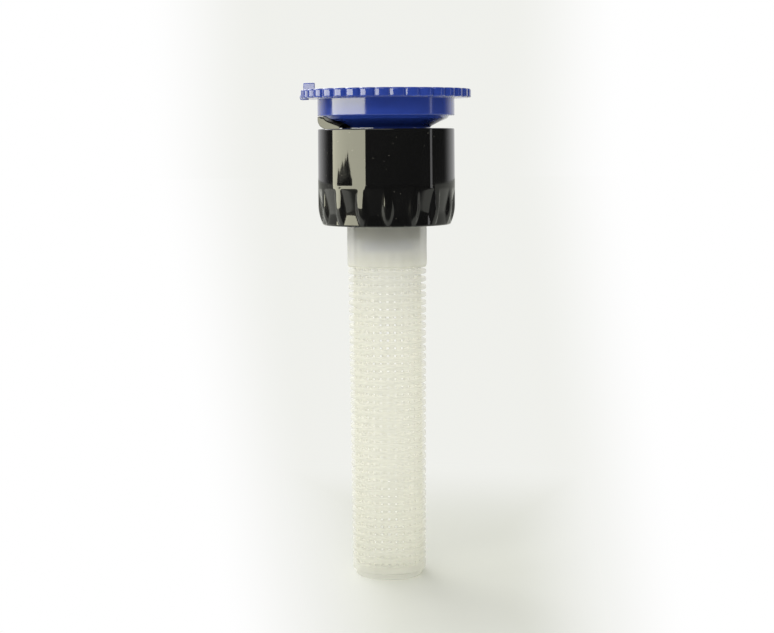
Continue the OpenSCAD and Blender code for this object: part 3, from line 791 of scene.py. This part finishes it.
def make_radius_screw():
    bm = bmesh.new()
    rows = 180
    run = SCREW_THREAD_HIGH - SCREW_THREAD_LOW
    shaft = [(SCREW_R, SCREW_THREAD_LOW + run * k / rows) for k in range(rows + 1)]
    outline = [(0.0, SCREW_END), (SCREW_R - 0.35, SCREW_END)] + shaft
    outline += [(SCREW_R, CLIP_GROOVE_LOW), (SCREW_R - 0.3, CLIP_GROOVE_LOW + 0.03),
                (SCREW_R - 0.3, CLIP_GROOVE_HIGH - 0.03), (SCREW_R, CLIP_GROOVE_HIGH)]
    outline += rounded([(SCREW_R, 70.0), (SCREW_R, HEAD_LOW, 0.05), (HEAD_R, HEAD_LOW, 0.08),
                        (HEAD_R, HEAD_HIGH, 0.2), (0.0, HEAD_HIGH)], 5)[1:]
    lathe(bm, outline, 64, screw_shape)
    screw = finish_mesh(bm, "slotted_radius_screw", STEEL)
    cut_drive_slot(screw)
    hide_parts("radius_screw")
    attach(screw, "screw")


# ---------------------------------------------------------------- valve spring

WIRE_R = 0.25
SPRING_TURNS = 3.5
SPRING_STEPS = 140
WIRE_SIDES = 14


def make_valve_spring():
    """A wound spring between the sleeve and the deflector, made at one length, that of the frame's spring
    part. The real spring shortens as the sleeve rises.
    """
    low_corner, high_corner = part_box("valve_spring")
    mean_r = high_corner[0] / MM - WIRE_R
    bottom, top = low_corner[2] / MM + WIRE_R, high_corner[2] / MM - WIRE_R
    bm = bmesh.new()
    rings = []
    for i in range(SPRING_STEPS + 1):
        share = i / SPRING_STEPS
        a = WHOLE_TURN * SPRING_TURNS * share
        ring = []
        for j in range(WIRE_SIDES):
            b = WHOLE_TURN * j / WIRE_SIDES
            r = mean_r + WIRE_R * math.cos(b)
            z = bottom + (top - bottom) * share + WIRE_R * math.sin(b)
            ring.append(bm.verts.new((r * math.cos(a), r * math.sin(a), z)))
        rings.append(ring)
    for first, second in zip(rings, rings[1:]):
        for j in range(WIRE_SIDES):
            k = (j + 1) % WIRE_SIDES
            bm.faces.new((first[j], first[k], second[k], second[j]))
    bm.faces.new(rings[0])
    bm.faces.new(reversed(rings[-1]))
    spring = finish_mesh(bm, "wound_valve_spring", STEEL)
    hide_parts("valve_spring")
    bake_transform(spring)


# ---------------------------------------------------------------- pieces kept from the frame

def finish_kept_nodes():
    """The other hidden pieces keep their frame meshes and get their real finishes."""
    finishes = {
        "screw_o_ring": RUBBER, "screen_gasket": RUBBER, "center_post": BRASS, "retaining_ring": STEEL,
        "friction_washer": STEEL, "screw_clip": STEEL, "thrust_washer": IVORY,
        "valve_sleeve": IVORY, "flow_guide": BLACK, "throttle_plug": BLUE_INNER,
    }
    for node, material in finishes.items():
        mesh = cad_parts[node].data
        mesh.materials.clear()
        mesh.materials.append(material)


# ---------------------------------------------------------------- stage, light and camera

# Places and lengths of the stage are in metres
CAMERA_AT = (-0.0001, -0.276, 0.0715)
CAMERA_LENS = 78.8
CAMERA_DOWN = 5.95       # degrees
CAMERA_ROLL = -0.45
BACKDROP = (0.87, 0.875, 0.84, 1)
WHITE = (1, 1, 1, 1)
BACKDROP_FADE = (0.07, 0.14)        # sideways share of the distance from which the backdrop turns white
FLOOR_COLOUR = (0.79, 0.80, 0.73, 1)
FLOOR_FADE = (0.03, 0.095)          # distance from the object over which the paper fades
FLOOR_SIDE_FADE = (0.03, 0.09)      # the same to the sides, as a share of the distance
VIEW_CENTRE_X = 0.010
VIEW_FROM = 0.28
NEAREST = 0.05
TABLE_COLOUR = (0.06, 0.06, 0.06, 1)
TABLE_FADE = (-0.07, -0.10)
ROOM_RAMP = (0.35, 0.8, 0.05, 0.75)
EVEN_LIGHT = (1, 1, 0.98, 1)
LAMP_AIM = (0, 0, 0.045)
BLOT_REACH = 0.55


def pale_tone(tree, value):
    """The backdrop's colour: pale gray in the middle of the view and white at its sides."""
    return mix_colours(tree, spread(tree, value, *BACKDROP_FADE, smooth=True), BACKDROP, WHITE)


def floor_material():
    """Pale paper that keeps the object's shadow and fades to the backdrop's tone around it.

    Camera rays and rays that pass through the screen see that fade. Reflections see the paper,
    and a dark table in front of it, as the photograph's room is dark on the camera's side.
    """
    material = bpy.data.materials.new("pale_floor")
    material.use_nodes = True
    tree = material.node_tree
    shader = tree.nodes["Principled BSDF"]
    shader.inputs["Roughness"].default_value = 0.6
    shader.inputs["Specular IOR Level"].default_value = 0.15
    place = tree.nodes.new("ShaderNodeTexCoord").outputs["Object"]
    split = add_node(tree, "ShaderNodeSeparateXYZ", Vector=place)
    path = tree.nodes.new("ShaderNodeLightPath")

    # How far to the side a point lies, as a share of its distance
    aside = compute(tree, "ABSOLUTE", compute(tree, "SUBTRACT", split.outputs["X"], VIEW_CENTRE_X))
    distance = compute(tree, "MAXIMUM", compute(tree, "ADD", split.outputs["Y"], VIEW_FROM), NEAREST)
    sideways = compute(tree, "DIVIDE", aside, distance)
    glow = add_node(tree, "ShaderNodeEmission", Color=pale_tone(tree, sideways), Strength=1.0)

    table = spread(tree, split.outputs["Y"], *TABLE_FADE, smooth=True)
    reflected_table = compute(tree, "MULTIPLY", table, path.outputs["Is Glossy Ray"])
    put(tree, mix_colours(tree, reflected_table, FLOOR_COLOUR, TABLE_COLOUR), shader.inputs["Base Color"])

    length = tree.nodes.new("ShaderNodeVectorMath")
    length.operation = "LENGTH"
    tree.links.new(place, length.inputs[0])
    far = spread(tree, length.outputs["Value"], *FLOOR_FADE, smooth=True)
    away = compute(tree, "MAXIMUM", far, spread(tree, sideways, *FLOOR_SIDE_FADE, smooth=True))
    seen = compute(tree, "MAXIMUM", path.outputs["Is Camera Ray"], path.outputs["Is Transmission Ray"])
    share = compute(tree, "MULTIPLY", away, seen)
    surface = mix_shaders(tree, share, shader.outputs[0], glow.outputs[0])
    tree.links.new(surface, tree.nodes["Material Output"].inputs["Surface"])
    return material


def make_floor():
    bm = bmesh.new()
    bmesh.ops.create_circle(bm, cap_ends=True, segments=96, radius=3.0)
    mesh = to_mesh(bm, "studio_floor")
    mesh.materials.append(floor_material())
    floor = add_object("studio_floor", mesh)


def make_world():
    """Camera rays see the backdrop and reflections see a dim room that is brighter behind the object.

    All other rays get the same even light from everywhere.
    """
    world = bpy.data.worlds.new("studio")
    bpy.context.scene.world = world
    world.use_nodes = True
    tree = world.node_tree
    tree.nodes.remove(tree.nodes["Background"])
    towards = tree.nodes.new("ShaderNodeTexCoord").outputs["Generated"]
    split = add_node(tree, "ShaderNodeSeparateXYZ", Vector=towards)
    path = tree.nodes.new("ShaderNodeLightPath")

    # The camera's side is white all over, so it counts as far to the side
    front = compute(tree, "LESS_THAN", split.outputs["Y"], 0)
    sideways = compute(tree, "ADD", compute(tree, "ABSOLUTE", split.outputs["X"]), front)
    seen = add_node(tree, "ShaderNodeBackground", Color=pale_tone(tree, sideways))
    tone = spread(tree, split.outputs["Y"], *ROOM_RAMP, smooth=True)
    room = add_node(tree, "ShaderNodeBackground", Color=tone, Strength=1.0)
    even = add_node(tree, "ShaderNodeBackground", Color=EVEN_LIGHT, Strength=0.5)
    lit = mix_shaders(tree, path.outputs["Is Glossy Ray"], even.outputs[0], room.outputs[0])
    surface = mix_shaders(tree, path.outputs["Is Camera Ray"], lit, seen.outputs[0])
    tree.links.new(surface, tree.nodes["World Output"].inputs["Surface"])


def add_light(name, azimuth, elevation, distance, size, power, colour=(1, 1, 1), gloss_only=False):
    """A soft rectangular lamp. Azimuth is measured from the camera's side, positive to its right.

    A gloss_only lamp shows in reflections and adds no light to plain surfaces.
    """
    lamp = bpy.data.lights.new(name, "AREA")
    lamp.shape = "RECTANGLE"
    lamp.size, lamp.size_y = size
    lamp.energy = power
    lamp.color = colour
    obj = add_object(name, lamp)
    side = math.radians(azimuth)
    rise = math.radians(elevation)
    place = Vector((math.sin(side) * math.cos(rise), -math.cos(side) * math.cos(rise), math.sin(rise)))
    obj.location = Vector(LAMP_AIM) + place * distance
    obj.rotation_euler = place.to_track_quat("Z", "Y").to_euler()
    obj.visible_diffuse = not gloss_only


def make_lights():
    add_light("window", azimuth=-68, elevation=4, distance=0.60, size=(0.78, 0.16), power=2.3,
              colour=(1.0, 0.98, 0.75), gloss_only=True)
    add_light("left_fill", azimuth=-95, elevation=24, distance=0.7, size=(0.7, 0.3), power=1.3)
    add_light("back_left", azimuth=-150, elevation=40, distance=0.8, size=(0.5, 0.4), power=2.4)
    add_light("front_top", azimuth=-20, elevation=40, distance=0.75, size=(0.7, 0.3), power=1.7)
    add_light("right_strip", azimuth=80, elevation=3, distance=0.8, size=(0.06, 0.2), power=0.05)


def make_window_blot():
    """A dark ragged card in front of the window lamp. Only reflections see it.

    It stands on an arc around the object, and its edge is a list of azimuths and heights.
    """
    edge = [(-66.8, 0.0710), (-64.6, 0.0650), (-63.0, 0.0645), (-61.5, 0.0605), (-58.5, 0.0570),
            (-59.6, 0.0440), (-65, 0.0445), (-71.4, 0.0435), (-78, 0.0450), (-85.3, 0.0470), (-91, 0.0530),
            (-88, 0.0620), (-84, 0.0610), (-77.8, 0.0660), (-75.5, 0.0640), (-71.4, 0.0680), (-69.5, 0.0670)]
    bm = bmesh.new()
    corners = []
    for azimuth, height in edge:
        side = math.radians(azimuth)
        corners.append(bm.verts.new((math.sin(side) * BLOT_REACH, -math.cos(side) * BLOT_REACH, height)))
    bmesh.ops.triangulate(bm, faces=[bm.faces.new(corners)])
    mesh = to_mesh(bm, "window_blot")
    material = bpy.data.materials.new("blot")
    material.use_nodes = True
    material.node_tree.nodes["Principled BSDF"].inputs["Base Color"].default_value = (0.02, 0.02, 0.02, 1)
    mesh.materials.append(material)
    card = add_object("window_blot", mesh)
    card.visible_camera = False
    card.visible_diffuse = False
    card.visible_transmission = False


def make_camera():
    """Level with the upper part of the nozzle, looking slightly down, as in a product picture."""
    camera = bpy.data.cameras.new("camera")
    camera.sensor_width = 36.0
    camera.lens = CAMERA_LENS
    camera.clip_start = 0.01
    obj = add_object("camera", camera)
    tilt = math.radians(90 - CAMERA_DOWN)
    roll = math.radians(CAMERA_ROLL)
    obj.matrix_world = (Matrix.Translation(CAMERA_AT) @ Matrix.Rotation(tilt, 4, "X")
                        @ Matrix.Rotation(roll, 4, "Z"))
    bpy.context.scene.camera = obj


make_camera()
make_world()
make_lights()
make_floor()
make_window_blot()
make_screen()
make_body()
make_deflector()
make_cap()
make_radius_screw()
make_valve_spring()
finish_kept_nodes()
bpy.context.scene.view_settings.view_transform = "Standard"
